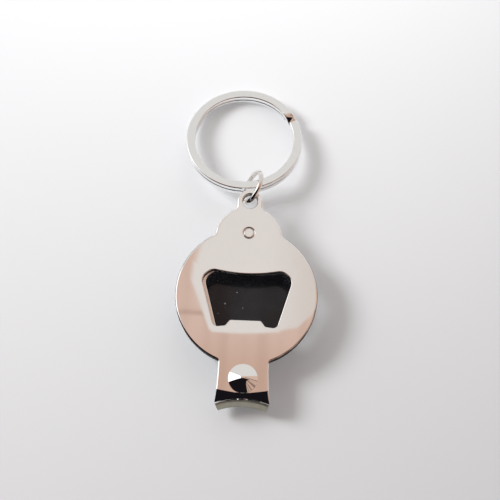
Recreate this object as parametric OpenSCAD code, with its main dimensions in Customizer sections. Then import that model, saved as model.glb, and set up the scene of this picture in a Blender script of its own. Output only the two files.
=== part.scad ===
// Keychain bottle opener with a folding nail clipper.
// Two pressed steel plates share one outline: a round body with an opener window, a tab for the
// key ring and a narrow neck that ends in a cutting jaw. A post through the neck carries the lever,
// which lies under the plates and is the side that the object rests on.
// Millimetres. +Z is up, +Y points to the key ring, and the origin is the middle of the footprint.
// Shapes of the plates are drawn in the plate frame: x across, y along, z up from the top face.

/* [Plates] */
// Diameter of the round body
disc_d = 36; // [34:0.5:38]
// Thickness of one plate
plate_t = 1; // [0.9:0.05:1.05]
// Gap between the two plates at the rivet
plate_gap = 0.1; // [0.08:0.02:0.15]
// Angle by which the lower plate bows away from the upper one
bow_angle = 1.6; // [1.4:0.1:1.7]
// Lean of the plates, key ring end up
plate_lift = 2.6; // [2.4:0.1:2.8]
// Height of the upper face over the middle of the body
face_height = 9.2; // [9.1:0.1:9.5]

/* [Shoulder and tab] */
// Radius of the rounded shoulder
shoulder_r = 8.6; // [8.3:0.1:8.8]
// Distance of the shoulder's centre from the middle of the body
shoulder_y = 14.8; // [14.5:0.1:15]
// Width of the key ring tab
tab_w = 6.5; // [6.3:0.1:7]
// Distance of the tab's end from the middle of the body
tab_end = 28.05; // [27.95:0.05:28.2]
// Diameter of the tab's hole
tab_hole_d = 3.8; // [3.8:0.05:4]
// Distance of the tab's hole from the middle of the body
tab_hole_y = 24.9; // [24.8:0.05:25]

/* [Opener window] */
// Half width of the window at its widest point
window_half_w = 11.6; // [11.3:0.1:11.8]
// Height of the window's top lip above the middle of the body
window_top = 5; // [4.8:0.1:5.2]
// Depth of the bottom lip below the middle of the body
window_lip = 6.4; // [6.2:0.1:6.6]
// Depth of the two bottom notches below the middle of the body
window_notch = 8.25; // [8.05:0.05:8.4]
// Sideways offset of the lower plate's window
lower_window_shift = 0.5; // [0.3:0.1:0.6]

/* [Neck and jaws] */
// Width of the upper neck where it leaves the body
neck_w = 12.8; // [12:0.1:13]
// Width across the corners of the upper cutting edge
jaw_w = 13.9; // [13.6:0.1:14]
// Distance of the cutting edge's middle from the middle of the body
edge_reach = 26.4; // [26.2:0.1:26.6]
// Sweep of the curved cutting edge
edge_sweep = 1.2; // [1:0.1:1.3]
// Depth of the upper cutting edge below the top face
edge_depth = 1.5; // [1.4:0.05:1.6]
// Gap between the two cutting edges
edge_gap = 0.85; // [0.8:0.05:0.9]
// Depth of the lower neck's top face
lower_neck_depth = 4.1; // [4:0.05:4.15]

/* [Post and rivet] */
// Diameter of the post's domed head
post_head_d = 7.4; // [7:0.1:7.6]
// Height of the domed head
post_head_h = 2.1; // [1.8:0.1:2.3]
// Diameter of the post's shank
post_d = 3.4; // [3.3:0.05:3.5]
// Distance of the post from the middle of the body
post_reach = 21.5; // [21.4:0.1:21.6]
// Depth of the lever's pivot bar below the top face
bar_depth = 6.4; // [6.4:0.05:6.45]
// Diameter of the tail rivet
rivet_d = 2.6; // [2.4:0.1:2.8]
// Distance of the rivet from the middle of the body
rivet_y = 16.4; // [16.2:0.1:16.6]

/* [Lever] */
// Width of the lever's steel arm
arm_w = 11; // [10:0.5:12]
// Thickness of the arm
arm_t = 1; // [0.9:0.05:1.05]
// Diameter of the pivot bar
bar_d = 1.2; // [1.15:0.05:1.25]
// Diameter of the lever's plastic disc
lever_disc_d = 28; // [27.6:0.1:28.4]
// Thickness of the plastic disc
lever_disc_h = 3.6; // [3.5:0.05:3.7]
// Diameter of the badge
badge_d = 24; // [23:0.5:24.5]

/* [Rings] */
// Outer diameter of the key ring
key_ring_d = 30; // [29:0.5:31]
// Width of the key ring's flat wire
key_wire_w = 2.2; // [2:0.1:2.3]
// Thickness of the key ring's flat wire
key_wire_t = 1.4; // [1.3:0.05:1.4]
// Radius of the jump ring at the middle of its wire
jump_r = 4.21; // [4.18:0.01:4.24]
// Diameter of the jump ring's wire
jump_wire_d = 1.22; // [1.1:0.02:1.26]

/* [Hidden] */
$fn = 96;

// Plates
disc_r = disc_d / 2;
neck_fillet = 0.8;
tab_fillet = 1;
lower_disc_r = disc_r - 0.15;
bow_start = 14.5;
lower_top = -(plate_t + plate_gap);
lower_neck_w = 12.2;

// The lower plate bends away south of the rivet, then drops down a step to its neck
function lower_face(y) = lower_top - max(0, bow_start - y) * tan(bow_angle);
step_start = -(disc_r - 1.1);
step_end = step_start - 2.8;
neck_stop = -24.5;

// Cutting jaws
bend_reach = 25.2;
bend_sweep = 0.9;
edge_t = 0.12;
jaw_stations = 24;
curve_steps = 7;
lower_land = 0.45;
lower_flare = 1;

// Post and notch, in the plate frame
post_y = -post_reach;
post_tip = bar_depth + 1.35;
bar_offset = 0.9;
bar_y = post_y - bar_offset;
notch_d = bar_d + 0.1;
head_lift = 0.05;
post_slip = 0.05;
lower_post_hole_d = post_d + 0.7;

// Lever, level with the ground
function ground_y(y, z) = y * cos(plate_lift) - z * sin(plate_lift);
function ground_z(y, z) = face_height + y * sin(plate_lift) + z * cos(plate_lift);
bar_ground_y = ground_y(bar_y, -bar_depth);
bar_ground_z = ground_z(bar_y, -bar_depth);
arm_end = -7.2;
curl_r = 1.05;
post_window_w = post_d + 0.8;
post_window_end = bar_ground_y + 3.8;
lever_disc_y = 2;
lever_disc_r = lever_disc_d / 2;
pocket_play = 0.05;
stake_x = 3;
stake_y = -10;
stake_d = 2;
stake_head_d = 3.2;
recess_h = 0.9;
badge_t = 0.35;

// Rings, placed from the middle of the body
key_ring_r = key_ring_d / 2;
key_coil_gap = 0.05;
key_ring_lean = 11.27;
key_ring_place = [-2.3, 43.27, 4.34];
key_joggle_start = 25;
key_joggle_angle = 13;
key_step_angle = 5;
jump_place = [0.42, 29.3, 8.38];
jump_turn = [0, 63.5, 165.3];
jump_cut_angle = 3;

// The origin is the middle of the footprint
north_end = key_ring_place.y + key_ring_r;
toe_end = -(edge_reach + edge_sweep + lower_land + lower_flare - 0.1);
south_end = ground_y(toe_end, 0.6 - lower_neck_depth - plate_t);
body_y = -(north_end + south_end) / 2;

// ---- Helpers ----

// Moves a shape drawn around the middle of the body to its place on the ground
module around_body() {
    translate([0, body_y, 0]) children();
}

// Moves a shape drawn in the plate frame to its place
module in_plate() {
    around_body() translate([0, 0, face_height]) rotate([plate_lift, 0, 0]) children();
}

// Extrudes a side profile, drawn as [along, up], across the part
module across(width) {
    rotate([90, 0, 90]) linear_extrude(height = width, center = true) children();
}

function unit(v) = v / norm(v);

// Points of the arc that rounds the corner b between a and c
function corner(a, b, c, r, steps) =
    let (u = unit(a - b), v = unit(c - b), half = acos(u * v) / 2)
    let (centre = b + unit(u + v) * r / sin(half))
    let (p = b + u * r / tan(half) - centre, q = b + v * r / tan(half) - centre)
    let (start = atan2(p.y, p.x), turn = atan2(p.x * q.y - p.y * q.x, p * q))
    [for (i = [0:steps]) centre + r * [cos(start + turn * i / steps), sin(start + turn * i / steps)]];

// A closed outline from corners given as [x, y, radius]
function rounded(path, steps = 8) =
    let (n = len(path), at = function(i) [path[(i + n) % n].x, path[(i + n) % n].y])
    [for (i = [0:n - 1]) each corner(at(i - 1), at(i), at(i + 1), path[i][2], steps)];

// Joins a row of closed sections into one solid with flat ends
module skin(sections) {
    n = len(sections[0]);
    last = len(sections) - 1;
    sides = [for (i = [0:last - 1], j = [0:n - 1])
        [i * n + j, i * n + (j + 1) % n, (i + 1) * n + (j + 1) % n, (i + 1) * n + j]];
    first_cap = [for (j = [n - 1:-1:0]) j];
    last_cap = [for (j = [0:n - 1]) last * n + j];
    polyhedron(points = [for (s = sections) each s], faces = concat(sides, [first_cap, last_cap]));
}

// Point of a curve that leaves a towards b and arrives at c
function bezier(a, b, c, t) = a * (1 - t) * (1 - t) + b * 2 * t * (1 - t) + c * t * t;

// ---- Plates ----

// Fillet between a round body of radius r and a straight side at x = side
module root_fillet(r, side, f) {
    centre = [side + f, -sqrt((r + f) * (r + f) - (side + f) * (side + f))];
    touch = centre * r / (r + f);
    difference() {
        polygon([centre, touch * 0.95, [side - 1, touch.y * 0.95], [side - 1, centre.y]]);
        translate(centre) circle(r = f);
    }
}

// Outline of a plate, with a neck that is wide at its root and wider at its end
module plate_outline(r, root_w, end_w, neck_end) {
    circle(r = r, $fn = 180);
    translate([0, shoulder_y]) circle(r = shoulder_r);
    translate([-tab_w / 2, shoulder_y]) square([tab_w, tab_end - tab_w / 2 - shoulder_y]);
    translate([0, tab_end - tab_w / 2]) circle(d = tab_w);
    polygon([[-root_w / 2, -r / 2], [-root_w / 2, -r], [-end_w / 2, neck_end],
        [end_w / 2, neck_end], [root_w / 2, -r], [root_w / 2, -r / 2]]);
    for (side = [0, 1]) {
        mirror([side, 0]) root_fillet(r, root_w / 2, neck_fillet);
        mirror([side, 0]) translate([0, shoulder_y]) rotate(180)
            root_fillet(shoulder_r, tab_w / 2, tab_fillet);
    }
}

// Outline of the opener window: a curved lip above, and two notches beside a flat lip below
module window_outline(inset) {
    s = (window_half_w - inset) / window_half_w;
    right = [[9 * s, window_top + 1.6, 1.2], [window_half_w * s, 4.5, 1.6],
        [7.95 * s, -window_notch, 1.3], [5.1 * s, 0.35 - window_notch, 0.7],
        [3.9 * s, -window_lip, 0.7]];
    left = [for (i = [len(right) - 1:-1:0]) [-right[i].x, right[i].y, right[i][2]]];
    polygon(rounded(concat([[0, window_top, 38]], right, left)));
}

// Half width of the upper jaw at a distance along the neck
function upper_half_w(y) = (neck_w + (jaw_w - neck_w) * pow((-y - disc_r) / 10.2, 1.6)) / 2;

// Section of the upper jaw at u, from -1 at its left corner to 1 at its right corner
function upper_section(u) =
    let (bend = -(bend_reach - bend_sweep * u * u), edge = -(edge_reach + edge_sweep * u * u))
    let (brow = [(bend + edge) / 2, -0.42 * edge_depth], belly = [(bend + edge) / 2 + 0.85, -1.3])
    let (outer = [for (i = [0:curve_steps])
        bezier([bend, 0], brow, [edge, -edge_depth], i / curve_steps)])
    let (inner = [for (i = [0:curve_steps])
        bezier([edge + edge_t, -edge_depth], belly, [neck_stop + 0.7, -plate_t], i / curve_steps)])
    [for (p = concat([[neck_stop + 0.7, 0]], outer, inner)) [u * upper_half_w(p.x), p.x, p.y]];

module upper_jaw() {
    color([0.85, 0.82, 0.8]) in_plate() difference() {
        union() {
            translate([0, 0, -plate_t]) linear_extrude(height = plate_t)
                plate_outline(disc_r, neck_w, upper_half_w(neck_stop + 0.6) * 2, neck_stop + 0.6);
            skin([for (i = [0:jaw_stations]) upper_section(1 - 2 * i / jaw_stations)]);
        }
        translate([0, 0, -2 * plate_t]) linear_extrude(height = 3 * plate_t) window_outline(0);
        translate([0, tab_hole_y, -2 * plate_t]) cylinder(d = tab_hole_d, h = 3 * plate_t);
        translate([0, rivet_y, -2 * plate_t]) cylinder(d = rivet_d + 0.1, h = 3 * plate_t);
        translate([0, rivet_y, -0.45])
            cylinder(d1 = rivet_d + 0.1, d2 = rivet_d + 1.3, h = 0.5);
        translate([0, post_y, -2 * plate_t]) cylinder(d = post_d + 2 * post_slip, h = 3 * plate_t);
    }
}

// Half width of the lower jaw, which opens out towards its cutting edge
lower_neck_bottom = lower_neck_depth + plate_t;
lower_edge_depth = edge_depth + edge_gap;
function lower_half_w(z) =
    let (rise = (z + lower_neck_bottom) / (lower_neck_bottom - lower_edge_depth))
    lower_neck_w / 2 + (jaw_w / 2 - 0.1 - lower_neck_w / 2) * rise;

// Section of the lower jaw: a wall with a ground land under the cutting edge
function lower_section(u) =
    let (edge = -(edge_reach + edge_sweep * u * u), face = edge - lower_land)
    let (floor_z = -lower_neck_bottom, shelf = -lower_neck_depth)
    let (toe = face - lower_flare, outer = [for (i = [0:curve_steps])
        bezier([toe + 0.1, floor_z + 0.6], [toe, floor_z], [toe + 1, floor_z], i / curve_steps)])
    let (inner = [for (i = [0:curve_steps]) bezier([neck_stop + 0.2, shelf],
        [edge + 1.1, shelf], [edge + 0.25, -lower_edge_depth - 0.6], i / curve_steps)])
    [for (p = concat([[edge, -lower_edge_depth], [face, -lower_edge_depth - 0.5]], outer,
        [[neck_stop + 0.2, floor_z]], inner)) [u * lower_half_w(p.y), p.x, p.y]];

module lower_jaw() {
    step_top = lower_face(step_start);
    color([0.75, 0.73, 0.7]) in_plate() difference() {
        union() {
            intersection() {
                across(3 * disc_d) polygon([[tab_end + 1, lower_top], [bow_start, lower_top],
                    [-disc_d, lower_face(-disc_d)], [-disc_d, lower_face(-disc_d) - plate_t],
                    [bow_start, lower_top - plate_t], [tab_end + 1, lower_top - plate_t]]);
                translate([0, 0, -10]) linear_extrude(height = 10)
                    plate_outline(lower_disc_r, lower_neck_w, lower_neck_w, step_start - 0.3);
            }
            across(lower_neck_w) polygon([[step_start + 0.5, step_top], [step_start, step_top],
                [step_end, -lower_neck_depth], [neck_stop, -lower_neck_depth],
                [neck_stop, -lower_neck_bottom], [step_end + 0.35, -lower_neck_bottom],
                [step_start + 0.35, step_top - plate_t], [step_start + 0.5, step_top - plate_t]]);
            skin([for (i = [0:jaw_stations]) lower_section(1 - 2 * i / jaw_stations)]);
        }
        translate([lower_window_shift, 0, -6 * plate_t]) linear_extrude(height = 7 * plate_t)
            window_outline(0.35);
        translate([0, tab_hole_y, -4 * plate_t]) cylinder(d = tab_hole_d, h = 5 * plate_t);
        translate([0, rivet_y, -4 * plate_t]) cylinder(d = rivet_d + 0.3, h = 5 * plate_t);
        translate([0, post_y, -2 * lower_neck_depth])
            cylinder(d = lower_post_hole_d, h = 2 * lower_neck_depth);
    }
}

// ---- Rivet and post ----

module tail_rivet() {
    stack = 2 * plate_t + plate_gap;
    color([0.8, 0.78, 0.76]) in_plate() translate([0, rivet_y, 0]) rotate_extrude() polygon([
        [0, 0], [rivet_d / 2 - 0.1, 0], [rivet_d / 2, -0.1], [rivet_d / 2, -stack - 0.1],
        [rivet_d / 2 + 0.7, -stack - 0.1], [rivet_d / 2 + 0.6, -stack - 0.4],
        [rivet_d / 2 - 0.1, -stack - 0.65], [0, -stack - 0.75]]);
}

// Crowned cone of the post's head, from the rim to the small flat on its crown
function head_profile(steps) = [for (i = [0:steps]) let (t = i / steps)
    [post_head_d / 2 * (1 - t) + 0.4 * t, 0.35 + (post_head_h - 0.35) * (0.72 * t + 0.28 * sin(90 * t))]];

module pivot_post() {
    color([0.82, 0.8, 0.78]) in_plate() translate([0, post_y, 0]) difference() {
        rotate_extrude() polygon(concat(
            [[0, -post_tip], [post_d / 2 - 0.3, -post_tip], [post_d / 2, 0.3 - post_tip]],
            [[post_d / 2, head_lift], [post_head_d / 2 - 0.1, head_lift], [post_head_d / 2, 0.2]],
            head_profile(8), [[0, post_head_h]]));
        translate([0, -bar_offset, -bar_depth]) rotate([0, 90, 0])
            cylinder(d = notch_d, h = 2 * post_d, center = true);
        translate([-post_d, -bar_offset - post_d, -bar_depth - notch_d / 2])
            cube([2 * post_d, post_d, notch_d]);
    }
}

// ---- Lever ----

module lever_arm() {
    curl_w = (arm_w - post_window_w) / 2;
    color([0.78, 0.77, 0.75]) around_body() difference() {
        union() {
            translate([0, 0, bar_ground_z - arm_t / 2]) linear_extrude(height = arm_t) difference() {
                translate([-arm_w / 2, bar_ground_y]) square([arm_w, arm_end - bar_ground_y]);
                translate([-post_window_w / 2, bar_ground_y - 1])
                    square([post_window_w, post_window_end - bar_ground_y + 1]);
            }
            translate([0, bar_ground_y, bar_ground_z]) rotate([0, 90, 0]) {
                cylinder(d = bar_d, h = arm_w - curl_w, center = true);
                for (side = [-1, 1]) translate([0, 0, side * (arm_w - curl_w) / 2])
                    cylinder(r = curl_r, h = curl_w, center = true);
            }
        }
        for (side = [-1, 1])
            translate([side * stake_x, stake_y, 0]) cylinder(d = stake_d + 0.1, h = 2 * lever_disc_h);
    }
}

module lever_disc() {
    arm_top = bar_ground_z + arm_t / 2;
    arm_bottom = bar_ground_z - arm_t / 2;
    color([0.1, 0.1, 0.11]) around_body() {
        difference() {
            translate([0, lever_disc_y, 0]) rotate_extrude($fn = 180) polygon([
                [0, recess_h], [badge_d / 2 + 0.1, recess_h], [badge_d / 2 + 0.1, 0],
                [lever_disc_r - 0.8, 0], [lever_disc_r - 0.3, 0.5], [lever_disc_r, 1.4],
                [lever_disc_r, lever_disc_h - 0.5], [lever_disc_r - 0.5, lever_disc_h],
                [0, lever_disc_h]]);
            translate([-arm_w / 2 - 0.1, -lever_disc_d, arm_bottom - pocket_play])
                cube([arm_w + 0.2, lever_disc_d + arm_end + 0.1, lever_disc_h]);
        }
        for (side = [-1, 1]) translate([side * stake_x, stake_y, 0]) {
            translate([0, 0, arm_bottom - 0.2]) cylinder(d = stake_d, h = arm_t + 0.4);
            translate([0, 0, arm_top + pocket_play])
                cylinder(d1 = stake_head_d, d2 = stake_d, h = 0.55);
        }
    }
}

module badge_insert() {
    color([0.2, 0.35, 0.6]) around_body() translate([0, lever_disc_y, recess_h - badge_t])
        cylinder(d = badge_d, h = badge_t, $fn = 180);
}

// Clear dome over the badge, which stops short of the rim that the object rests on
module badge_dome() {
    base = recess_h - badge_t;
    color([0.85, 0.9, 0.95]) around_body() translate([0, lever_disc_y, 0])
        rotate_extrude($fn = 180) polygon(concat([[0, base], [badge_d / 2, base]],
            [for (t = [0:0.125:1]) [badge_d / 2 * (1 - t), base - 0.1 - 0.36 * sin(90 * t)]]));
}

// ---- Rings ----

module jump_ring() {
    color([0.8, 0.8, 0.78]) around_body() translate(jump_place) rotate(jump_turn)
        rotate(90 + jump_cut_angle / 2) rotate_extrude(angle = 360 - jump_cut_angle)
            translate([jump_r, 0]) circle(d = jump_wire_d, $fn = 40);
}

// Height of the flat wire's middle: it runs low, steps up at the joggle and runs high
function key_level(a) =
    let (t = min(1, max(0, (a - key_joggle_start) / key_joggle_angle)))
    (key_wire_t + key_coil_gap) * (t * t * (3 - 2 * t) - 0.5);

function key_section(a) = let (z = key_level(a), r = key_ring_r, h = key_wire_t / 2)
    [for (p = [[r, z - h], [r, z + h], [r - key_wire_w, z + h], [r - key_wire_w, z - h]])
        [p.x * cos(a), p.x * sin(a), p.y]];

module key_ring() {
    first = key_joggle_start + key_joggle_angle - 360;
    last = key_joggle_start + 360;
    steps = round((last - first) / key_step_angle);
    color([0.83, 0.83, 0.82]) around_body() translate(key_ring_place) rotate([-key_ring_lean, 0, 0])
        skin([for (i = [0:steps]) key_section(first + (last - first) * i / steps)]);
}

upper_jaw();
lower_jaw();
tail_rivet();
pivot_post();
lever_arm();
lever_disc();
badge_insert();
badge_dome();
jump_ring();
key_ring();
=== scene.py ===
"""Keychain bottle opener with a folding nail clipper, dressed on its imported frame.

Sizes are in millimetres in the plate frame: x across, y towards the key ring from the middle of the
round body, z up from the upper plate's face. Each piece is placed in metres when it is finished.
"""

from __future__ import annotations

import logging
import math
from dataclasses import dataclass, field
from enum import Enum
from typing import Callable, Iterable, Sequence

import bmesh
import bpy
from mathutils import Euler, Matrix, Vector

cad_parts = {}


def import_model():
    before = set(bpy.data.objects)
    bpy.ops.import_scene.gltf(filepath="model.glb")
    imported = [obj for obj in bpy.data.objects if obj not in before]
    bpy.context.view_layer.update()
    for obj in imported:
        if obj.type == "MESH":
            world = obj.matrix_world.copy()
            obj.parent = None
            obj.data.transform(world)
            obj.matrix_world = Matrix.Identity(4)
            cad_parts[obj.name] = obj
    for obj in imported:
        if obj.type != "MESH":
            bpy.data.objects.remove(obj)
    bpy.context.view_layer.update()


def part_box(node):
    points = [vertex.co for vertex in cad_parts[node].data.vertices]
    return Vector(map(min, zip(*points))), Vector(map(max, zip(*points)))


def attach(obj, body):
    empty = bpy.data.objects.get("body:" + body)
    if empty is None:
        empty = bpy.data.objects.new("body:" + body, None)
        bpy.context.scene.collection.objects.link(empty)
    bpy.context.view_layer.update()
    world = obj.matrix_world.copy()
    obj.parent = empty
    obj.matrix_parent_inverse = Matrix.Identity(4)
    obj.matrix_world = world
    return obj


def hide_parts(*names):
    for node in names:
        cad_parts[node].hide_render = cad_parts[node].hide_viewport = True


LOG = logging.getLogger("keychain_opener")
MM = 0.001
FULL_TURN = math.tau
QUARTER_TURN = (0.0, 0.4, 0.8, 1.2, math.pi / 2)

Point = tuple[float, float]
Colour = tuple[float, float, float, float]


class Body(Enum):
    """Moving bodies of the opener."""

    LEVER = "lever"
    POST = "post"
    UPPER = "upper_jaw"
    LOWER = "lower_jaw"
    LINK = "jump_ring"
    RING = "key_ring"


class Side(Enum):
    """Which side of an outline the metal lies on."""

    INSIDE = 1
    OUTSIDE = -1


# ---------------------------------------------------------------- Layout


@dataclass(frozen=True)
class Layout:
    """Where the plates and the ground stand, read from the frame.

    Attributes:
        middle_y: Middle of the round body along the row's length.
        face_height: Height of the upper plate's face there.
        lift_deg: How far the plates tip up towards the tail.
    """

    middle_y: float
    face_height: float = 9.2
    lift_deg: float = 2.6

    @classmethod
    def from_frame(cls) -> "Layout":
        """Reads the middle of the body from the badge, which lies 2 mm north of it."""
        low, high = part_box("badge_insert")
        return cls(middle_y=(low.y + high.y) / 2 / MM - 2.0)

    def plates(self) -> Matrix:
        """Matrix from the plate frame to the row frame in metres.

        Returns:
            The matrix.
        """
        return (
            Matrix.Scale(MM, 4)
            @ Matrix.Translation((0, self.middle_y, self.face_height))
            @ Matrix.Rotation(math.radians(self.lift_deg), 4, "X")
        )

    def ground(self) -> Matrix:
        """Matrix from a frame level with the ground, under the body's middle, to metres."""
        return Matrix.Scale(MM, 4) @ Matrix.Translation((0, self.middle_y, 0))


# ---------------------------------------------------------------- Outline helpers


def arc(centre: Point, radius: float, start: float, end: float, step_deg: float = 4.0) -> list[Point]:
    """Points of an arc.

    Args:
        centre: Middle of the arc.
        radius: Its radius.
        start: First angle in degrees.
        end: Last angle in degrees.
        step_deg: Largest turn between two points.

    Returns:
        The points, both ends included.
    """
    count = max(2, math.ceil(abs(end - start) / step_deg))
    return [
        (
            centre[0] + radius * math.cos(math.radians(start + (end - start) * i / count)),
            centre[1] + radius * math.sin(math.radians(start + (end - start) * i / count)),
        )
        for i in range(count + 1)
    ]


def rounded_path(corners: Sequence[tuple[float, float, float]], steps: int = 8) -> list[Point]:
    """Closed outline with rounded corners.

    Args:
        corners: Corner points as (x, y, radius).
        steps: Number of steps in each corner's arc.

    Returns:
        The outline's points in order.
    """
    points: list[Point] = []
    count = len(corners)
    for i, (x, y, radius) in enumerate(corners):
        before = Vector(corners[i - 1][:2])
        after = Vector(corners[(i + 1) % count][:2])
        corner = Vector((x, y))
        u, v = (before - corner).normalized(), (after - corner).normalized()
        half = math.acos(max(-1.0, min(1.0, u.dot(v)))) / 2
        centre = corner + (u + v).normalized() * radius / math.sin(half)
        p = corner + u * radius / math.tan(half) - centre
        q = corner + v * radius / math.tan(half) - centre
        first = math.atan2(p.y, p.x)
        turn = math.atan2(p.x * q.y - p.y * q.x, p.dot(q))
        for k in range(steps + 1):
            angle = first + turn * k / steps
            points.append((centre.x + radius * math.cos(angle), centre.y + radius * math.sin(angle)))
    return thin_out(points)


def thin_out(points: Sequence[Point], gap: float = 0.02) -> list[Point]:
    """Drops points that lie closer than gap to the one before, around the closed loop.

    Args:
        points: The closed outline.
        gap: Least distance between two neighbours.

    Returns:
        The points that are kept.
    """
    kept: list[Point] = []
    for point in points:
        if not kept or math.dist(point, kept[-1]) > gap:
            kept.append(point)
    while len(kept) > 3 and math.dist(kept[0], kept[-1]) <= gap:
        kept.pop()
    return kept


def divide(a: Point, b: Point, pitch: float) -> list[Point]:
    """Points from a to b, both left out, about a pitch apart.

    Args:
        a: One end.
        b: The other end.
        pitch: Distance aimed at between points.

    Returns:
        The points between, in order.
    """
    count = max(1, round(math.dist(a, b) / pitch))
    return [
        (a[0] + (b[0] - a[0]) * i / count, a[1] + (b[1] - a[1]) * i / count) for i in range(1, count)
    ]


def mirrored(half: Sequence[Point]) -> list[Point]:
    """Closes a right half, from the top of the middle line to its bottom, with its mirror image."""
    left = [(-x, y) for x, y in reversed(half) if abs(x) > 1e-6]
    return thin_out([*half, *left])


def bezier(a: Vector, b: Vector, c: Vector, t: float) -> Vector:
    """Point of a curve that leaves a towards b and arrives at c."""
    return a * (1 - t) ** 2 + b * 2 * t * (1 - t) + c * t * t


def along(path: Sequence[Vector], share: float) -> Vector:
    """Point at a share of a broken line's length.

    Args:
        path: The broken line.
        share: Share of its length, from 0 to 1.

    Returns:
        The point.
    """
    lengths = [(b - a).length for a, b in zip(path, path[1:])]
    left = max(0.0, min(1.0, share)) * sum(lengths)
    for a, b, length in zip(path, path[1:], lengths):
        if left <= length or b is path[-1]:
            return a.lerp(b, min(1.0, left / length if length else 0.0))
        left -= length
    return path[-1]


# ---------------------------------------------------------------- Mesh helper


@dataclass
class Rim:
    """A closed outline whose edge is drawn down from the face to the underside.

    Attributes:
        points: The outline, in order.
        side: Side of the outline that the metal lies on.
        top: Rounding of the upper edge.
        bottom: Rounding of the lower edge.
        factors: Share of the rounding at each point.
    """

    points: list[Point]
    side: Side
    top: float = 0.35
    bottom: float = 0.25
    factors: list[float] = field(default_factory=list)

    def __post_init__(self) -> None:
        """Works out the outward directions, which point away from the metal."""
        count = len(self.points)
        area = sum(
            self.points[i - 1][0] * self.points[i][1] - self.points[i][0] * self.points[i - 1][1]
            for i in range(count)
        )
        turn = math.copysign(1.0, area) * self.side.value
        self.outward: list[Vector] = []
        for i, point in enumerate(self.points):
            here = Vector(point)
            a = (here - Vector(self.points[i - 1])).normalized()
            b = (Vector(self.points[(i + 1) % count]) - here).normalized()
            na, nb = Vector((a.y, -a.x)) * turn, Vector((b.y, -b.x)) * turn
            middle = (na + nb).normalized()
            self.outward.append(middle / max(0.5, middle.dot(na)))
        if not self.factors:
            self.factors = [1.0] * count

    def place(self, index: int, inset: float, depth: float) -> Vector:
        """Point of the outline moved into the metal and down.

        Args:
            index: Which point.
            inset: Distance into the metal.
            depth: Distance below the upper face.

        Returns:
            The moved point.
        """
        share = self.factors[index]
        spot = Vector(self.points[index]) - self.outward[index] * inset * share
        return Vector((spot.x, spot.y, -depth))


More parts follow.
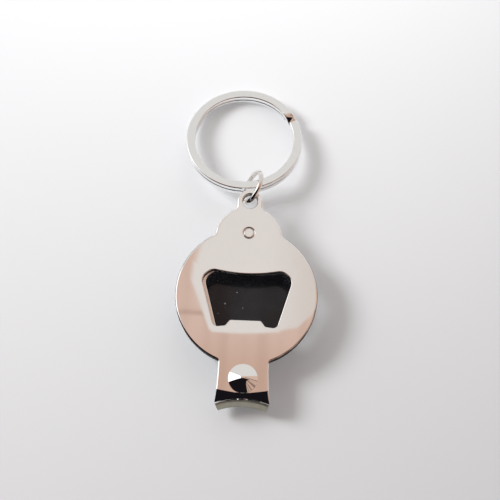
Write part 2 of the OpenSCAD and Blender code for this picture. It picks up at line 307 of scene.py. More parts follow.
class Workpiece:
    """A mesh on the bench: shapes go in, one finished object comes out."""

    def __init__(self, name: str) -> None:
        """Starts an empty mesh.

        Args:
            name: Name of the finished piece.
        """
        self.name = name
        self.bm = bmesh.new()
        self.station = self.bm.verts.layers.int.new("station")

    def ring(self, spots: Sequence[Vector]) -> list[bmesh.types.BMEdge]:
        """Lays a closed ring of edges through the spots.

        Args:
            spots: The points, in order.

        Returns:
            The edges of the ring.
        """
        verts = []
        for i, spot in enumerate(spots):
            vert = self.bm.verts.new(spot)
            vert[self.station] = i
            verts.append(vert)
        return [self.bm.edges.new((verts[i - 1], verts[i])) for i in range(len(verts))]

    def draw(
        self, edges: list[bmesh.types.BMEdge], place: Callable[[int], Vector]
    ) -> list[bmesh.types.BMEdge]:
        """Extrudes a ring of edges and puts each new point in its place.

        Args:
            edges: The ring to extrude.
            place: Gives the new position from a point's station.

        Returns:
            The new ring's edges.
        """
        made = bmesh.ops.extrude_edge_only(self.bm, edges=edges)["geom"]
        for vert in (g for g in made if isinstance(g, bmesh.types.BMVert)):
            vert.co = place(vert[self.station])
        old = set(edges)
        fresh = [g for g in made if isinstance(g, bmesh.types.BMEdge) and g not in old]
        tops = {g for g in made if isinstance(g, bmesh.types.BMVert)}
        return [e for e in fresh if e.verts[0] in tops and e.verts[1] in tops]

    def plate(self, rims: Sequence[Rim], thickness: float, segments: int = 6) -> None:
        """Makes a flat plate with rounded rims from its outline and holes.

        Args:
            rims: The outer outline and the holes.
            thickness: Thickness of the plate.
            segments: Steps in each rounding.
        """
        support = 0.06
        upper: list[bmesh.types.BMEdge] = []
        lower: list[bmesh.types.BMEdge] = []
        for rim in rims:
            steps = [(rim.top, 0.0)]
            for k in range(1, segments + 1):
                angle = math.pi / 2 * k / segments
                steps.append((rim.top * (1 - math.sin(angle)), rim.top * (1 - math.cos(angle))))
            for k in range(segments + 1):
                angle = math.pi / 2 * k / segments
                steps.append(
                    (rim.bottom * (1 - math.cos(angle)), thickness - rim.bottom * (1 - math.sin(angle)))
                )
            steps.append((rim.bottom + support, thickness))
            first = [rim.place(i, rim.top + support, 0.0) for i in range(len(rim.points))]
            edges = self.ring(first)
            upper.extend(edges)
            for inset, depth in steps:
                edges = self.draw(edges, lambda i, a=inset, d=depth, r=rim: r.place(i, a, d))
            lower.extend(edges)
        for edges in (upper, lower):
            bmesh.ops.triangle_fill(self.bm, edges=edges, use_beauty=True, use_dissolve=False)
        bmesh.ops.recalc_face_normals(self.bm, faces=self.bm.faces[:])

    def turn(self, profile: Sequence[Point], centre: Vector, steps: int = 96) -> None:
        """Spins a profile of (radius, height) about an upright axis at the centre.

        Args:
            profile: Points (radius, height), in order.
            centre: Foot of the axis.
            steps: Steps in the full turn.
        """
        verts = [self.bm.verts.new(centre + Vector((r, 0, z))) for r, z in profile]
        edges = [self.bm.edges.new(pair) for pair in zip(verts, verts[1:])]
        bmesh.ops.spin(
            self.bm,
            geom=[*verts, *edges],
            cent=centre,
            axis=(0, 0, 1),
            angle=FULL_TURN,
            steps=steps,
            use_merge=True,
        )
        bmesh.ops.remove_doubles(self.bm, verts=self.bm.verts[:], dist=1e-4)
        bmesh.ops.recalc_face_normals(self.bm, faces=self.bm.faces[:])

    def slice(self, spots: Iterable[float], axis: int, keep: Callable[[Vector], bool]) -> None:
        """Cuts extra lines across part of the mesh.

        Args:
            spots: Positions of the cuts along the axis.
            axis: 0 for cuts at fixed x, 1 for cuts at fixed y.
            keep: Tells whether a face with this middle is cut.
        """
        normal = Vector((1.0, 0, 0)) if axis == 0 else Vector((0, 1.0, 0))
        for spot in spots:
            faces = [f for f in self.bm.faces if keep(f.calc_center_median())]
            edges = {e for f in faces for e in f.edges}
            verts = {v for f in faces for v in f.verts}
            bmesh.ops.bisect_plane(
                self.bm,
                geom=[*verts, *edges, *faces],
                dist=1e-5,
                plane_co=normal * spot,
                plane_no=normal,
            )

    def press(self, die: Callable[[Vector], Vector]) -> None:
        """Moves every point by a pressing die."""
        for vert in self.bm.verts:
            vert.co = die(vert.co)

    def finish(
        self, frame: Matrix, materials: Sequence[bpy.types.Material], sharp_deg: float = 40.0
    ) -> bpy.types.Object:
        """Turns the mesh into an object whose place is in its mesh.

        Args:
            frame: Matrix from the bench to metres in the row frame.
            materials: The piece's materials in slot order.
            sharp_deg: Angle past which an edge stays sharp.

        Returns:
            The finished object, linked to the scene.
        """
        self.bm.transform(frame)
        mesh = bpy.data.meshes.new(self.name)
        self.bm.to_mesh(mesh)
        self.bm.free()
        for material in materials:
            mesh.materials.append(material)
        mesh.shade_smooth()
        mesh.set_sharp_from_angle(angle=math.radians(sharp_deg))
        piece = bpy.data.objects.new(self.name, mesh)
        bpy.context.scene.collection.objects.link(piece)
        return piece


def cut_away(piece: bpy.types.Object, cutter: bpy.types.Object) -> None:
    """Cuts the cutter's shape out of a piece for good and removes the cutter.

    Args:
        piece: The piece to cut.
        cutter: The shape to take away.
    """
    modifier = piece.modifiers.new("pocket", "BOOLEAN")
    modifier.operation = "DIFFERENCE"
    modifier.solver = "EXACT"
    modifier.object = cutter
    bpy.context.view_layer.update()
    evaluated = piece.evaluated_get(bpy.context.evaluated_depsgraph_get())
    mesh = bpy.data.meshes.new_from_object(evaluated)
    piece.modifiers.clear()
    old = piece.data
    piece.data = mesh
    mesh.name = piece.name
    bpy.data.meshes.remove(old)
    waste = cutter.data
    bpy.data.objects.remove(cutter)
    bpy.data.meshes.remove(waste)


# ---------------------------------------------------------------- Shader helper


class Signal:
    """A shader value that takes part in Python expressions."""

    def __init__(self, bench: "ShaderBench", socket: bpy.types.NodeSocket) -> None:
        """Wraps a socket of the bench's node tree."""
        self.bench = bench
        self.socket = socket

    def _math(self, operation: str, *values: "Signal | float") -> "Signal":
        """Adds a Math node."""
        return self.bench.node("ShaderNodeMath", {"operation": operation}, dict(enumerate(values)))

    def __add__(self, other: "Signal | float") -> "Signal":
        """Sum."""
        return self._math("ADD", self, other)

    __radd__ = __add__

    def __sub__(self, other: "Signal | float") -> "Signal":
        """Difference."""
        return self._math("SUBTRACT", self, other)

    def __rsub__(self, other: "Signal | float") -> "Signal":
        """Reflected difference."""
        return self._math("SUBTRACT", other, self)

    def __mul__(self, other: "Signal | float") -> "Signal":
        """Product."""
        return self._math("MULTIPLY", self, other)

    __rmul__ = __mul__

    def __truediv__(self, other: "Signal | float") -> "Signal":
        """Quotient."""
        return self._math("DIVIDE", self, other)

    def __rtruediv__(self, other: "Signal | float") -> "Signal":
        """Reflected quotient."""
        return self._math("DIVIDE", other, self)

    def __neg__(self) -> "Signal":
        """Opposite."""
        return self._math("MULTIPLY", self, -1.0)

    def __pow__(self, power: float) -> "Signal":
        """Power."""
        return self._math("POWER", self, power)

    def least(self, other: "Signal | float") -> "Signal":
        """Smaller of two values."""
        return self._math("MINIMUM", self, other)

    def most(self, other: "Signal | float") -> "Signal":
        """Larger of two values."""
        return self._math("MAXIMUM", self, other)

    def apply(self, operation: str) -> "Signal":
        """A Math operation of one value."""
        return self._math(operation, self)

    def ease(self, low: float, high: float) -> "Signal":
        """Smooth step from 0 at low to 1 at high.

        Args:
            low: Value at which it leaves 0.
            high: Value at which it reaches 1.

        Returns:
            The eased value.
        """
        return self.bench.node(
            "ShaderNodeMapRange",
            {"interpolation_type": "SMOOTHSTEP", "clamp": True},
            {"Value": self, "From Min": low, "From Max": high, "To Min": 0.0, "To Max": 1.0},
        )


class ShaderBench:
    """Builds one node tree."""

    def __init__(self, tree: bpy.types.NodeTree) -> None:
        """Clears the tree and starts on it."""
        self.tree = tree
        tree.nodes.clear()

    def node(
        self,
        kind: str,
        settings: dict[str, object] | None = None,
        values: dict[str | int, object] | None = None,
        output: str | int = 0,
    ) -> Signal:
        """Adds a node.

        Args:
            kind: The node's type.
            settings: Its own properties, set first.
            values: Values or signals for its sockets, by name or number.
            output: Which output to return.

        Returns:
            The chosen output.
        """
        made = self.tree.nodes.new(kind)
        for key, value in (settings or {}).items():
            setattr(made, key, value)
        for key, value in (values or {}).items():
            socket = made.inputs[key]
            if isinstance(value, Signal):
                self.tree.links.new(value.socket, socket)
            else:
                socket.default_value = value
        return Signal(self, made.outputs[output])

    def place(self) -> Signal:
        """Object coordinates in metres."""
        return self.node("ShaderNodeTexCoord", output="Object")

    def split(self, vector: Signal) -> tuple[Signal, Signal, Signal]:
        """The three parts of a vector.

        Args:
            vector: The vector.

        Returns:
            Its x, y and z.
        """
        made = self.node("ShaderNodeSeparateXYZ", None, {0: vector})
        outputs = made.socket.node.outputs
        return Signal(self, outputs[0]), Signal(self, outputs[1]), Signal(self, outputs[2])

    def noise(self, vector: Signal, scale: float, detail: float = 3.0, rough: float = 0.55) -> Signal:
        """Noise from 0 to 1 at a scale in lumps per metre.

        Args:
            vector: Where to read it.
            scale: Lumps per metre.
            detail: Number of finer layers.
            rough: Strength of the finer layers.

        Returns:
            The noise.
        """
        return self.node(
            "ShaderNodeTexNoise",
            {"noise_dimensions": "3D"},
            {"Vector": vector, "Scale": scale, "Detail": detail, "Roughness": rough},
        )

    def stretched(self, vector: Signal, scale: Sequence[float], turn_deg: float = 0.0) -> Signal:
        """Coordinates stretched along the axes and turned about Z.

        Args:
            vector: The coordinates.
            scale: Stretch along each axis.
            turn_deg: Turn about Z in degrees.

        Returns:
            The new coordinates.
        """
        return self.node(
            "ShaderNodeMapping",
            {"vector_type": "POINT"},
            {"Vector": vector, "Scale": tuple(scale), "Rotation": (0.0, 0.0, math.radians(turn_deg))},
        )

    def blend(self, factor: Signal | float, a: Signal | Colour, b: Signal | Colour) -> Signal:
        """Colour that goes from a to b with the factor.

        Args:
            factor: Share of b.
            a: Colour at 0.
            b: Colour at 1.

        Returns:
            The blended colour.
        """
        return self.node(
            "ShaderNodeMix", {"data_type": "RGBA"}, {"Factor": factor, 6: a, 7: b}, output=2
        )

    def bump(self, height: Signal, distance: float) -> Signal:
        """Normal from a height, whose unit is the distance in metres."""
        values = {"Height": height, "Distance": distance, "Strength": 1.0}
        return self.node("ShaderNodeBump", None, values)

    def surface(self, values: dict[str | int, object]) -> None:
        """Ends the tree with a principled surface.

        Args:
            values: Values or signals for the surface's sockets.
        """
        shader = self.node("ShaderNodeBsdfPrincipled", None, values)
        out = self.tree.nodes.new("ShaderNodeOutputMaterial")
        self.tree.links.new(shader.socket, out.inputs["Surface"])


def new_material(name: str) -> tuple[bpy.types.Material, ShaderBench]:
    """Makes an empty material and its bench.

    Args:
        name: The material's name.

    Returns:
        The material and its bench.
    """
    material = bpy.data.materials.new(name)
    material.use_nodes = True
    return material, ShaderBench(material.node_tree)


# ---------------------------------------------------------------- Finishes


@dataclass(frozen=True)
class MirrorNickel:
    """Polished nickel plate over pressed steel, with faint buffing lines and handling marks.

    Attributes:
        name: Name of the material.
        tint: Colour of the plating.
        rough: Roughness of the polish.
        crown: How far the face falls away from the middle, per metre.
        middle_y: Middle of the crown, in metres.
        window_roll: Depth to which the face rolls over at the window, in metres.
        ripple: Height of the polishing ripple in metres.
    """

    name: str = "mirror_nickel"
    tint: Colour = (0.93, 0.915, 0.905, 1.0)
    rough: float = 0.02
    crown: float = 0.0
    middle_y: float = 0.0
    window_roll: float = 0.0
    ripple: float = 2.5e-6

    def make(self) -> bpy.types.Material:
        """Builds the material.

        Returns:
            The material.
        """
        material, b = new_material(self.name)
        spot = b.place()
        x, y, _ = b.split(spot)
        lines = b.noise(b.stretched(spot, (9000.0, 260.0, 9000.0), 3.0), 1.0, 4.0, 0.7)
        marks = b.noise(spot, 420.0, 5.0, 0.6)
        film = b.noise(spot, 95.0, 2.0, 0.5)
        worn = b.noise(b.stretched(spot, (700.0, 5200.0, 5200.0), 38.0), 1.0, 3.0, 0.6).ease(0.66, 0.8)
        rough = self.rough + film.ease(0.5, 0.85) * 0.014 + worn * 0.02 + lines * 0.006
        colour = b.blend(
            marks.ease(0.5, 0.85) * 0.35,
            self.tint,
            tuple(c * k for c, k in zip(self.tint[:3], (0.93, 0.92, 0.9))) + (1.0,),
        )
        wave = b.noise(spot, 130.0, 1.0, 0.4)
        height = (wave - 0.5) * self.ripple + (lines - 0.5) * 1.2e-8
        if self.crown:
            away = y - self.middle_y
            height = height - (x * x + away * away) * self.crown
        if self.window_roll:
            height = height - self._roll(x, y - self.middle_y) * self.window_roll
        b.surface(
            {
                "Base Color": colour,
                "Metallic": 1.0,
                "Roughness": rough,
                "Normal": b.bump(height, 1.0),
            }
        )
        return material

    @staticmethod
    def _roll(x: Signal, y: Signal) -> Signal:
        """Falls from 1 at the window's edge to 0 a few millimetres away.

        Args:
            x: Position across in metres.
            y: Position along from the middle of the body in metres.

        Returns:
            The share of the roll.
        """
        across = x.apply("ABSOLUTE")
        side = across * 0.9606 - y * 0.278 - 0.00975
        top = y * 0.9848 - across * 0.1736 - 0.0049
        foot = -y - 0.0078
        away = side.most(top).most(foot).most(0.0)
        return (away * -1150.0).apply("EXPONENT")


@dataclass(frozen=True)
class GroundSteel:
    """Ground and wiped steel of the cutting edges.

    Attributes:
        name: Name of the material.
        tint: Colour of the steel.
        rough: Least roughness.
    """

    name: str = "ground_steel"
    tint: Colour = (0.40, 0.385, 0.31, 1.0)
    rough: float = 0.26

    def make(self) -> bpy.types.Material:
        """Builds the material.

        Returns:
            The material.
        """
        material, b = new_material(self.name)
        spot = b.place()
        grain = b.noise(b.stretched(spot, (14000.0, 900.0, 900.0)), 1.0, 3.0, 0.7)
        stain = b.noise(spot, 600.0, 4.0, 0.6)
        colour = b.blend(stain.ease(0.4, 0.75), self.tint, (0.33, 0.31, 0.27, 1.0))
        b.surface(
            {
                "Base Color": colour,
                "Metallic": 1.0,
                "Roughness": self.rough + grain * 0.16,
                "Normal": b.bump(grain, 3.0e-6),
            }
        )
        return material


@dataclass(frozen=True)
class PaintedShadeWall:
    """Near-black painted shade on the plates' walls, standing in for the shade and dark reflection
    there.

    Attributes:
        name: Name of the material.
        tint: Painted near-black colour of the wall, for its shade.
    """

    name: str = "painted_shade_wall"
    tint: Colour = (0.018, 0.014, 0.013, 1.0)

    def make(self) -> bpy.types.Material:
        """Builds the material.

        Returns:
            The material.
        """
        material, b = new_material(self.name)
        spot = b.place()
        tear = b.noise(b.stretched(spot, (2600.0, 2600.0, 500.0)), 1.0, 3.0, 0.7)
        # Painted shade: the wall colour mottles between two near-blacks.
        colour = b.blend(tear.ease(0.35, 0.8), self.tint, (0.05, 0.04, 0.036, 1.0))
        b.surface(
            {
                "Base Color": colour,
                "Metallic": 1.0,
                "Roughness": 0.3 + tear * 0.2,
                "Normal": b.bump(tear, 8.0e-6),
            }
        )
        return material


@dataclass(frozen=True)
class PressedSteel:
    """Plain pressed steel of the lever's arm.

    Attributes:
        name: Name of the material.
        tint: Colour of the steel.
    """

    name: str = "pressed_steel"
    tint: Colour = (0.66, 0.65, 0.63, 1.0)

    def make(self) -> bpy.types.Material:
        """Builds the material.

        Returns:
            The material.
        """
        material, b = new_material(self.name)
        spot = b.place()
        roll = b.noise(b.stretched(spot, (8000.0, 220.0, 8000.0)), 1.0, 4.0, 0.7)
        blotch = b.noise(spot, 340.0, 4.0, 0.6)
        colour = b.blend(blotch.ease(0.35, 0.75) * 0.6, self.tint, (0.46, 0.45, 0.43, 1.0))
        b.surface(
            {
                "Base Color": colour,
                "Metallic": 1.0,
                "Roughness": 0.2 + roll * 0.16 + blotch * 0.06,
                "Normal": b.bump(roll, 4.0e-6),
            }
        )
        return material


@dataclass(frozen=True)
class BlackGloss:
    """Black moulded plastic with a few specks of dust and hairline scuffs.

    Attributes:
        name: Name of the material.
        tint: Colour of the moulding.
        dust: Colour of the dust on it.
        speck_scale: Dust specks per metre.
    """

    name: str = "black_gloss"
    tint: Colour = (0.007, 0.0072, 0.009, 1.0)
    dust: Colour = (0.3, 0.3, 0.33, 1.0)
    speck_scale: float = 760.0

    def make(self) -> bpy.types.Material:
        """Builds the material.

        Returns:
            The material.
        """
        material, b = new_material(self.name)
        spot = b.place()
        cells = b.node(
            "ShaderNodeTexVoronoi",
            {"feature": "F1"},
            {"Vector": spot, "Scale": self.speck_scale},
            output="Distance",
        )
        rare = b.noise(spot, 420.0, 1.0, 0.5).ease(0.58, 0.62)
        specks = (1.0 - cells.ease(0.1, 0.2)) * rare
        haze = b.noise(spot, 240.0, 5.0, 0.65)
        scuffs = b.noise(b.stretched(spot, (500.0, 7000.0, 500.0), 24.0), 1.0, 2.0, 0.6).ease(0.7, 0.78)
        dusty = specks * 0.6 + scuffs * 0.03 + haze.ease(0.4, 0.9) * 0.02
        colour = b.blend(dusty, self.tint, self.dust)
        b.surface(
            {
                "Base Color": colour,
                "Roughness": 0.12 + haze * 0.08 + specks * 0.4,
                "IOR": 1.38,
                "Normal": b.bump(haze, 4.0e-6),
            }
        )
        return material


@dataclass(frozen=True)
class PrintedCard:
    """Printed badge card: a plain sunburst of two blues inside a pale ring."""

    name: str = "printed_card"
    centre: Point = (0.0, 0.0)

    def make(self) -> bpy.types.Material:
        """Builds the material.

        Returns:
            The material.
        """
        material, b = new_material(self.name)
        x, y, _ = b.split(b.place())
        x, y = x - self.centre[0], y - self.centre[1]
        radius = (x * x + y * y) ** 0.5
        angle = b.node("ShaderNodeMath", {"operation": "ARCTAN2"}, {0: y, 1: x})
        rays = (angle * 12.0).apply("SINE").ease(-0.12, 0.12)
        field_colour = b.blend(rays, (0.03, 0.1, 0.27, 1.0), (0.07, 0.2, 0.45, 1.0))
        band = radius.ease(0.0098, 0.00985) * (1.0 - radius.ease(0.0108, 0.01085))
        hub = 1.0 - radius.ease(0.0034, 0.00345)
        grain = b.noise(b.place(), 5200.0, 2.0, 0.5)
        colour = b.blend(band.most(hub), field_colour, (0.8, 0.78, 0.7, 1.0))
        b.surface(
            {
                "Base Color": b.blend(grain * 0.12, colour, (0.2, 0.2, 0.22, 1.0)),
                "Roughness": 0.42 + grain * 0.12,
                "Normal": b.bump(grain, 3.0e-6),
            }
        )
        return material


@dataclass(frozen=True)
class ClearResin:
    """Poured clear resin with faint ripples."""

    name: str = "clear_resin"

    def make(self) -> bpy.types.Material:
        """Builds the material.

        Returns:
            The material.
        """
        material, b = new_material(self.name)
        spot = b.place()
        ripple = b.noise(spot, 260.0, 2.0, 0.5)
        drawn = b.stretched(spot, (6000.0, 500.0, 500.0), 31.0)
        scuffs = b.noise(drawn, 1.0, 2.0, 0.6).ease(0.62, 0.75)
        b.surface(
            {
                "Base Color": b.blend(ripple, (0.97, 0.98, 1.0, 1.0), (0.9, 0.94, 0.98, 1.0)),
                "Roughness": 0.04 + scuffs * 0.12,
                "Transmission Weight": 1.0,
                "IOR": 1.5,
                "Normal": b.bump(ripple, 6.0e-6),
            }
        )
        return material


@dataclass(frozen=True)
class PaperFloor:
    """Plain pale sheet under the object."""

    name: str = "paper_floor"
    tint: Colour = (0.507, 0.521, 0.539, 1.0)

    def make(self) -> bpy.types.Material:
        """Builds the material.

        Returns:
            The material.
        """
        material, b = new_material(self.name)
        spot = b.place()
        fibre = b.noise(spot, 1800.0, 4.0, 0.6)
        cloud = b.noise(spot, 22.0, 2.0, 0.5)
        shade = tuple(c * 0.985 for c in self.tint[:3]) + (1.0,)
        b.surface(
            {
                "Base Color": b.blend(cloud * 0.6 + fibre * 0.3, self.tint, shade),
                "Roughness": 0.85 + fibre * 0.1,
                "Specular IOR Level": 0.15,
                "Normal": b.bump(fibre, 8.0e-6),
            }
        )
        return material


# ---------------------------------------------------------------- Sub-assemblies


@dataclass
class Assembly:
    """A sub-assembly that knows the layout and hands over its pieces."""

    layout: Layout

    def deliver(
        self, piece: bpy.types.Object, body: Body, slot: str, *nodes: str
    ) -> bpy.types.Object:
        """Puts a piece on its body in place of its CAD nodes.

        Args:
            piece: The finished piece.
            body: The body that it moves with.
            slot: The record's material slot. Not used.
            nodes: The CAD nodes that it stands for.

        Returns:
            The same piece.
        """
        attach(piece, body.value)
        if nodes:
            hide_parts(*nodes)
        LOG.info("%s: %d faces on %s", piece.name, len(piece.data.polygons), body.value)
        return piece


@dataclass
class PressedPlate(Assembly):
    """What the two plates share: outline, window, tab hole and jaw sizes.

    Attributes:
        thickness: Thickness of the sheet.
        disc_r: Radius of the round body.
        shoulder_r: Radius of the tab's shoulder.
        shoulder_y: Middle of the tab's shoulder.
        tab_w: Width of the tab.
        tab_end: End of the tab.
        tab_fillet: Fillet where the tab meets its shoulder.
        tab_hole: Middle and radius of the hole in the tab.
        neck_fillet: Fillet where the neck meets the body.
        neck_w: Width of the neck.
        jaw_w: Width of the cutting edge.
        neck_stop: End of the neck.
        edge_reach: Distance of the cutting edge's middle.
        edge_sweep: How much further its corners reach.
        edge_depth: Depth of the edge below the face.
        post_y: Middle of the pivot post.
        flat_tip: Length of the flat blank past the neck.
        edge_tilt: Steepness past which a rim gets painted shade.
        keen: Share of the rounding left at the cutting edge.
        rivet_y: Middle of the tail rivet.
        wall_r: Radius past which the painted-shade wall begins.
        wall_span: South and north end of the painted-shade wall.
        window_reach: Radius that holds the whole window.
        window_top: Middle of the window's top as (x, y, radius).
        window_corners: The window's right corners as (x, y, radius).
    """

    thickness: float = 1.0
    disc_r: float = 18.0
    shoulder_r: float = 8.6
    shoulder_y: float = 14.8
    tab_w: float = 6.5
    tab_end: float = 28.05
    tab_fillet: float = 1.0
    tab_hole: tuple[float, float] = (24.9, 1.9)
    neck_fillet: float = 0.8
    neck_w: float = 12.8
    jaw_w: float = 13.9
    neck_stop: float = -24.5
    edge_reach: float = 26.4
    edge_sweep: float = 1.2
    edge_depth: float = 1.5
    post_y: float = -21.5
    flat_tip: float = 4.2
    edge_tilt: float = 0.72
    keen: float = 0.12
    rivet_y: float = 16.4
    wall_r: float = 17.1
    wall_span: Point = (-17.3, 15.5)
    window_reach: float = 14.0
    window_top: tuple[float, float, float] = (0.0, 5.0, 38.0)
    window_corners: tuple[tuple[float, float, float], ...] = (
        (9.0, 6.6, 2.5),
        (11.6, 4.5, 2.5),
        (7.95, -8.25, 1.3),
        (5.1, -7.9, 0.7),
        (3.9, -6.4, 0.7),
    )

    def neck_half(self, y: float) -> float:
        """Half width of the neck and jaw at y."""
        return (self.neck_w + (self.jaw_w - self.neck_w) * max(0.0, (-y - 18.0) / 10.2) ** 1.6) / 2

    def tip_start(self) -> float:
        """Where the flat neck ends and the jaw's shape begins."""
        return self.neck_stop + 0.7

    def outline(self) -> list[Point]:
        """Outer outline with the jaw still flat.

        Returns:
            The closed outline.
        """
        r, half_tab = self.disc_r, self.tab_w / 2
        tab_y = self.tab_end - half_tab
        half = arc((0, tab_y), half_tab, 90, 0, 6)
        across, reach = half_tab + self.tab_fillet, self.shoulder_r + self.tab_fillet
        fillet = (across, self.shoulder_y + math.sqrt(reach**2 - across**2))
        half += divide(half[-1], (half_tab, fillet[1]), 0.8)
        back = math.degrees(math.atan2(self.shoulder_y - fillet[1], -across)) % 360
        half += arc(fillet, self.tab_fillet, 180, back, 10)
        meet_y = (r**2 - self.shoulder_r**2 + self.shoulder_y**2) / (2 * self.shoulder_y)
        meet_x = math.sqrt(r**2 - meet_y**2)
        end = math.degrees(math.atan2(meet_y - self.shoulder_y, meet_x))
        half += arc((0, self.shoulder_y), self.shoulder_r, back - 180, end, 4)
        root = self.neck_w / 2 + self.neck_fillet
        root_y = -math.sqrt((r + self.neck_fillet) ** 2 - root**2)
        touch = math.degrees(math.atan2(root_y, root))
        half += arc((0, 0), r, math.degrees(math.atan2(meet_y, meet_x)), touch, 2.5)
        half += arc((root, root_y), self.neck_fillet, touch + 180, 180, 12)
        tip = self.tip_start() - self.flat_tip
        side = [(self.neck_half(y / 10), y / 10) for y in range(-178, round(self.tip_start() * 10), -4)]
        wide = self.neck_half(self.tip_start())
        half += [p for p in side if p[1] < root_y - 0.2]
        half += divide((wide, self.tip_start() + 0.2), (wide, tip), 0.25) + [(wide, tip)]
        half += divide((wide, tip), (0, tip), 0.45) + [(0, tip)]
        return mirrored(half)

    def tip_factors(self, points: Sequence[Point]) -> list[float]:
        """Rounding shares that keep the cutting edge keen."""
        tip = self.tip_start() - self.flat_tip
        return [self.keen if y < tip + 0.02 else 1.0 for _, y in points]

    def window(self, inset: float, shift: float) -> list[Point]:
        """Outline of the opener window.

        Args:
            inset: Distance that the sides stand in.
            shift: Sideways shift.

        Returns:
            The closed outline.
        """
        widest = self.window_corners[1][0]
        share = (widest - inset) / widest
        right = [(x * share, y, r) for x, y, r in self.window_corners]
        left = [(-x, y, r) for x, y, r in reversed(right)]
        path = rounded_path([self.window_top, *right, *left])
        return [(x + shift, y) for x, y in path]

    def hole(self, y: float, radius: float, step_deg: float = 7.5) -> list[Point]:
        """Outline of a round hole."""
        return thin_out(arc((0, y), radius, 0, 360, step_deg))

    def paint_shaded_walls(self, work: Workpiece, index: int = 1) -> None:
        """Paints shade on the walls of the body, window and eye by giving them a near-black material.

        Args:
            work: The plate on the bench.
            index: Slot of the near-black painted-shade material.
        """
        # Steep walls round the body, window and eye get the near-black painted shade.
        for face in work.bm.faces:
            middle = face.calc_center_median()
            south, north = self.wall_span
            around = math.hypot(middle.x, middle.y) > self.wall_r and south < middle.y < north
            if around and -0.9 < face.normal.z < self.edge_tilt:
                face.material_index = index
            window = math.hypot(middle.x, middle.y) < self.window_reach and middle.y > -12
            eye = math.hypot(middle.x, middle.y - self.tab_hole[0]) < self.tab_hole[1] + 0.1
            if (window or eye) and abs(face.normal.z) < 0.5:
                face.material_index = index

    def cut_tip(self, work: Workpiece) -> None:
        """Adds the lines that the jaw bends along.

        Args:
            work: The plate on the bench.
        """
        start, tip = self.tip_start(), self.tip_start() - self.flat_tip
        wide, pitch = self.neck_half(start), 0.14
        work.slice(
            [start + 0.05 - i * pitch for i in range(int(self.flat_tip / pitch) + 1)],
            1,
            lambda c: c.y < -21 and c.y > tip - 1,
        )
        work.slice([wide * k / 9 for k in range(-8, 9)], 0, lambda c: c.y < start)


@dataclass
class UpperPlate(PressedPlate):
    """Upper plate: the opener's polished face with the upper cutting jaw.

    Attributes:
        rivet_hole_r: Radius of the rivet's hole.
        post_hole_r: Radius of the post's hole.
    """

    rivet_hole_r: float = 1.36
    post_hole_r: float = 1.75

    def press(self, spot: Vector) -> Vector:
        """Bends the flat jaw down to its swept cutting edge.

        Args:
            spot: A point of the flat blank.

        Returns:
            Its place on the pressed plate.
        """
        start = self.tip_start()
        if spot.y >= start:
            return spot
        flat_half = self.neck_half(start)
        u = max(-1.0, min(1.0, spot.x / flat_half))
        bend, edge = -(25.2 - 0.9 * u * u), -(self.edge_reach + self.edge_sweep * u * u)
        middle = (bend + edge) / 2
        outer = [Vector((start, 0.0))] + [
            bezier(
                Vector((bend, 0)),
                Vector((middle, -0.5 * self.edge_depth)),
                Vector((edge, -self.edge_depth)),
                t / 12,
            )
            for t in range(13)
        ]
        inner = [
            bezier(
                Vector((start, -self.thickness)),
                Vector((middle + 0.85, -1.3)),
                Vector((edge + 0.12, -self.edge_depth)),
                t / 12,
            )
            for t in range(13)
        ]
        share = (start - spot.y) / self.flat_tip
        depth = max(0.0, min(1.0, -spot.z / self.thickness))
        place = along(outer, share).lerp(along(inner, share), depth)
        return Vector((spot.x * self.neck_half(place.x) / flat_half, place.x, place.y))

    def build(self) -> bpy.types.Object:
        """Makes the plate.

        Returns:
            The plate.
        """
        work = Workpiece("upper_plate")
        outline = self.outline()
        work.plate(
            [
                Rim(outline, Side.INSIDE, 0.42, 0.2, self.tip_factors(outline)),
                Rim(self.window(0, 0), Side.OUTSIDE, 0.28, 0.15),
                Rim(self.hole(self.tab_hole[0], self.tab_hole[1]), Side.OUTSIDE, 0.3, 0.15),
                Rim(self.hole(self.rivet_y, self.rivet_hole_r), Side.OUTSIDE, 0.36, 0.1),
                Rim(self.hole(self.post_y, self.post_hole_r), Side.OUTSIDE, 0.1, 0.1),
            ],
            self.thickness,
        )
        self.cut_tip(work)
        work.press(self.press)
        # Painted shade: the walls of the body, window and eye get a near-black material.
        self.paint_shaded_walls(work)
        face = MirrorNickel(
            "upper_plate_nickel", crown=0.56, middle_y=self.layout.middle_y * MM, window_roll=4.0e-6
        )
        piece = work.finish(self.layout.plates(), [face.make(), PaintedShadeWall("upper_wall_painted_shade").make()])
        return self.deliver(piece, Body.UPPER, "upper_plate", "upper_jaw")


